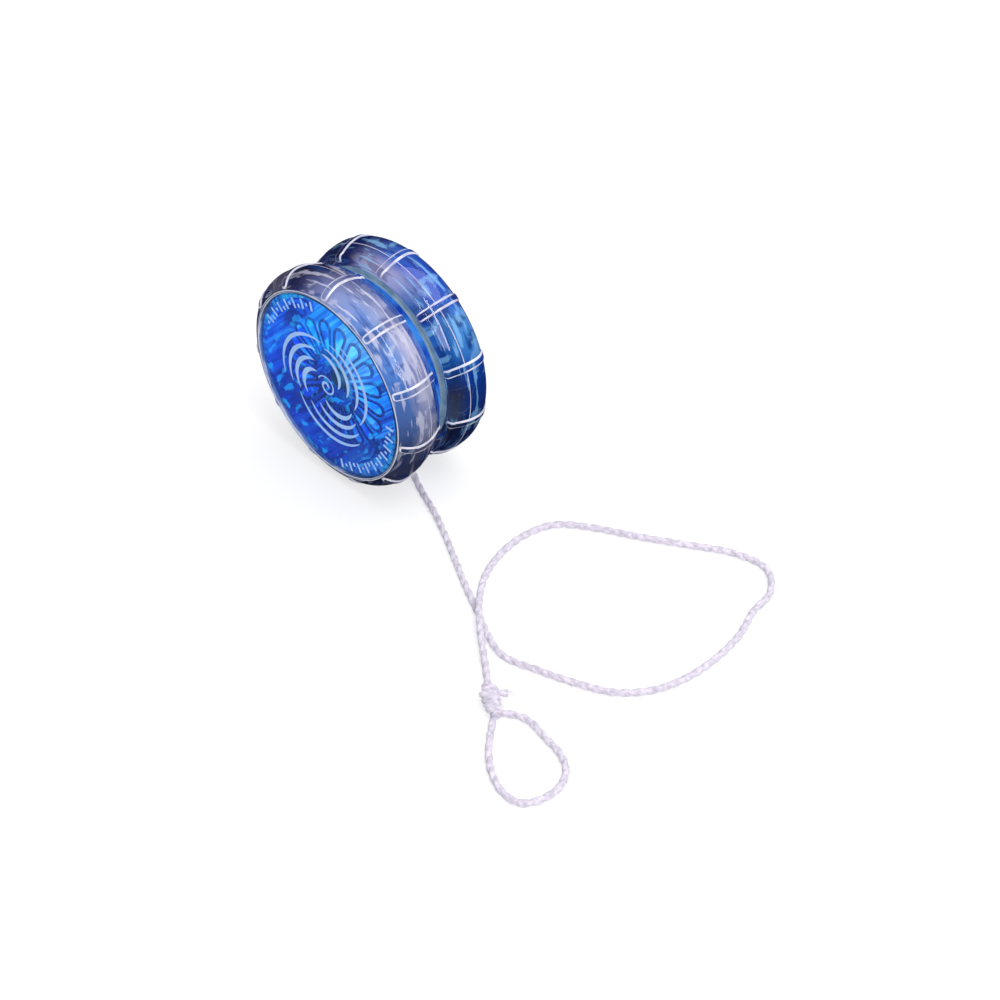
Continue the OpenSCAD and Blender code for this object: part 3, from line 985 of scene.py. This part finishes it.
def add_core(end):
    """Blue dish: fluted floor, liner wall, hub with the nut's pocket, and the ring of petals."""
    liner_out, liner_in = LINER_R - SKIN_GAP, LINER_R - 1.2 * MM
    flange = FLANGE_R - SKIN_GAP
    step_w = FLANGE_TOP_W + SKIN_GAP
    top_w = CAP_SEAT_W - SLIP
    floor_w = FLANGE_TOP_W + 0.4 * MM
    hub_r, hub_w = 5.6 * MM, 10 * MM
    bearing_r, bearing_w = 6.6 * MM, 2.7 * MM
    pad_in_r, pad_out_r, pad_w = 9.4 * MM, 13 * MM, FLOOR_W + 0.8 * MM
    axle_r, nut_r, nut_w = 2.1 * MM, 4.15 * MM, 5.6 * MM
    outline = [
        (bearing_r, FLOOR_W), (pad_in_r, FLOOR_W), (pad_in_r, pad_w),
        (pad_out_r, pad_w), (pad_out_r, FLOOR_W), (17 * MM, FLOOR_W),
        (flange - 0.1 * MM, FLOOR_W), (flange, FLOOR_W + 0.1 * MM), (flange, step_w),
        (liner_out, step_w), (liner_out, top_w), (liner_in, top_w),
        (liner_in, floor_w + 1.6 * MM), (liner_in - 1.2 * MM, floor_w + 0.5 * MM),
        (20 * MM, floor_w), (14 * MM, floor_w), (8 * MM, floor_w), (hub_r, floor_w),
        (hub_r, hub_w - 0.2 * MM), (hub_r - 0.2 * MM, hub_w), (4.2 * MM, hub_w),
        (nut_r, nut_w), (axle_r, nut_w), (axle_r, bearing_w), (bearing_r, bearing_w),
    ]
    fluted_points, last_gap_point = (14, 15, 16), 7
    flutes, flute_rise = 4 * PETALS, 0.5 * MM

    def shift(i, angle):
        if i not in fluted_points:
            return 0, 0
        wave = abs(((angle * flutes / TAU) % 1) * 2 - 1)
        return 0, flute_rise * wave

    body = lathe(f"{end}_dish", outline, end, 4 * flutes, CORE, shift)
    body.data.materials.append(GAP_DISC)
    for face in body.data.polygons:
        if min(v % len(outline) for v in face.vertices) <= last_gap_point:
            face.material_index = 1
    vertices, faces = [], []
    for k in range(PETALS):
        wall_faces, pocket_faces = add_petal(vertices, faces, TAU * k / PETALS, end)
    petals = make_object(f"{end}_petals", vertices, faces, PETAL_RIM_SHADE, sharp=30)
    petals.data.materials.append(PETAL_POCKET_LIGHT)
    petals.data.materials.append(CORE)
    per_petal = len(faces) // PETALS
    # Pockets take the painted light copy, rims and undersides the painted shade copy, outer walls
    # the dish's blue plastic
    for face in petals.data.polygons:
        index = face.index % per_petal
        face.material_index = 1 if index in pocket_faces else 2 if index in wall_faces else 0
    core = join(f"{end}_starburst", [body, petals])
    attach(core, "wheel")
    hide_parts(f"{end}_core")


# Printed ornament: arms, crescents in each arm, and steps along a crescent and the swirl
ARMS = 3
CRESCENTS = 4
CRESCENT_STEPS = 24
SWIRL_STEPS = 39
# Arcs of marks: first angle and count of each arc, the angle between marks, and in mm from the
# axle the ends of each mark, taken in turn
MARK_ARCS = ((100, 14), (-80, 19))
MARK_TURN = 4.4
MARK_ENDS = [(20.6, 23.2), (21.5, 22.3), (20.6, 23.2), (20.6, 21.7)]
MARK_HALF = 0.36 * MM


def print_strip(shapes, points, half_widths):
    """A flat strip of ink along a line in the plane of the face, as wide as asked at each point."""
    vertices, faces = shapes
    start = len(vertices)
    for i, (x, y) in enumerate(points):
        ahead, behind = points[min(i + 1, len(points) - 1)], points[max(i - 1, 0)]
        dx, dy = ahead[0] - behind[0], ahead[1] - behind[1]
        size = math.hypot(dx, dy)
        nx, ny = -dy / size * half_widths[i], dx / size * half_widths[i]
        vertices += [(x + nx, y + ny), (x - nx, y - ny)]
    for i in range(len(points) - 1):
        a = start + 2 * i
        faces.append((a, a + 1, a + 3, a + 2))


def add_print(end):
    """Printed ornament: arms of nested crescents round a small swirl, and arcs of marks."""
    shapes = ([], [])
    for arm in range(ARMS):
        base = TAU * arm / ARMS + math.radians(20)
        for n in range(CRESCENTS):
            points, widths = [], []
            inner_r, outer_r = (4.4 + 2.7 * n) * MM, (9.2 + 2.2 * n) * MM
            sweep = math.radians(78 + 7 * n)
            for k in range(CRESCENT_STEPS + 1):
                t = k / CRESCENT_STEPS
                radius = inner_r + (outer_r - inner_r) * math.sin(math.pi / 2 * t)
                angle = base - math.radians(15 * n) + sweep * t
                points.append((radius * math.cos(angle), radius * math.sin(angle)))
                widths.append((0.08 + (0.6 - 0.05 * n) * math.sin(math.pi * t) ** 0.8) * MM)
            print_strip(shapes, points, widths)
    swirl, widths = [], []
    for k in range(SWIRL_STEPS + 1):
        t = k / SWIRL_STEPS
        radius, angle = (0.5 + 2.6 * t) * MM, 9 * t
        swirl.append((radius * math.cos(angle), radius * math.sin(angle)))
        widths.append((0.45 - 0.3 * t) * MM)
    print_strip(shapes, swirl, widths)
    for first, count in MARK_ARCS:
        for k in range(count):
            angle = math.radians(first + MARK_TURN * k)
            ends = MARK_ENDS[k % len(MARK_ENDS)]
            mark = [(r * MM * math.cos(angle), r * MM * math.sin(angle)) for r in ends]
            print_strip(shapes, mark, [MARK_HALF] * 2)
    vertices = []
    for x, y in shapes[0]:
        vertices.append(place(math.hypot(x, y), math.atan2(y, x), CAP_FACE_W + SKIN_GAP, end))
    ink = make_object(f"{end}_print", vertices, shapes[1], INK)
    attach(ink, "wheel")


for end, phase in (("front", FRONT_PHASE), ("rear", REAR_PHASE)):
    add_rim(end, phase)
    add_cap(end)
    add_core(end)
    add_print(end)


# ---------------------------------------------------------------- floor and light
HORIZON = (0.02, 0.03, 0.06)


def mix_shaders(tree, factor, first, second):
    mix = tree.nodes.new("ShaderNodeMixShader")
    if isinstance(factor, float):
        mix.inputs["Fac"].default_value = factor
    else:
        tree.links.new(factor, mix.inputs["Fac"])
    tree.links.new(first, mix.inputs[1])
    tree.links.new(second, mix.inputs[2])
    return mix.outputs["Shader"]


def add_floor():
    """Pale floor with half-strength shadows, dark where the clear plastic mirrors or bends it."""
    bpy.ops.mesh.primitive_plane_add(size=6, location=(0, 0, 0))
    floor = bpy.context.active_object
    floor.name = "floor"
    material, tree, shader = new_material("pale_floor")
    set_inputs(shader, Base_Color=(0.93, 0.93, 0.94, 1), Roughness=0.7, Specular_IOR_Level=0.2)
    glow = tree.nodes.new("ShaderNodeEmission")
    glow.inputs["Strength"].default_value = 1.1
    dark = tree.nodes.new("ShaderNodeBsdfDiffuse")
    dark.inputs["Color"].default_value = (0.02, 0.025, 0.07, 1)
    path = tree.nodes.new("ShaderNodeLightPath")
    plain = mix_shaders(tree, 0.55, shader.outputs["BSDF"], glow.outputs["Emission"])
    mirrored, bent = path.outputs["Is Glossy Ray"], path.outputs["Is Transmission Ray"]
    either = calculate(tree, "MAXIMUM", mirrored, bent)
    shown = mix_shaders(tree, either, plain, dark.outputs["BSDF"])
    tree.links.new(shown, tree.nodes["Material Output"].inputs["Surface"])
    floor.data.materials.append(material)


def add_area_light(name, place_at, target, size, power):
    light = bpy.data.lights.new(name, "AREA")
    light.shape = "RECTANGLE"
    light.size, light.size_y = size
    light.energy = power
    lamp = bpy.data.objects.new(name, light)
    lamp.location = place_at
    lamp.rotation_euler = (Vector(target) - Vector(place_at)).to_track_quat("-Z", "Y").to_euler()
    bpy.context.scene.collection.objects.link(lamp)


def add_world():
    """Soft light from above, dark towards the horizon; plain white behind the scene."""
    world = bpy.data.worlds.new("soft_studio")
    bpy.context.scene.world = world
    world.use_nodes = True
    tree = world.node_tree
    place = tree.nodes.new("ShaderNodeTexCoord")
    split = tree.nodes.new("ShaderNodeSeparateXYZ")
    tree.links.new(place.outputs["Generated"], split.inputs["Vector"])
    sky = colour_ramp(tree, split.outputs["Z"], [
        (0.0, HORIZON), (0.2, (0.08, 0.09, 0.14)),
        (0.5, (0.64, 0.65, 0.72)), (0.9, (1.0, 0.99, 1.0)),
    ])
    path = tree.nodes.new("ShaderNodeLightPath")
    dimmed = calculate(tree, "MULTIPLY", path.outputs["Is Glossy Ray"], 0.55)
    mirrored = mix_colours(tree, dimmed, sky, (*HORIZON, 1))
    seen = mix_colours(tree, path.outputs["Is Camera Ray"], mirrored, (1, 1, 1, 1))
    tree.links.new(seen, tree.nodes["Background"].inputs["Color"])
    tree.nodes["Background"].inputs["Strength"].default_value = 1.0


add_floor()
add_world()
add_area_light("overhead", (0.1, 0.2, 0.7), (0, 0, 0), (0.5, 0.5), 1.6)
add_area_light("right_softbox", (0.6, -0.3, 0.4), (0.03, 0, 0.02), (0.3, 0.3), 1.2)
add_area_light("long_strip", (0.5, -0.12, 0.5), (0, 0, 0.03), (0.05, 0.7), 1.2)
bpy.context.scene.view_settings.view_transform = "Standard"
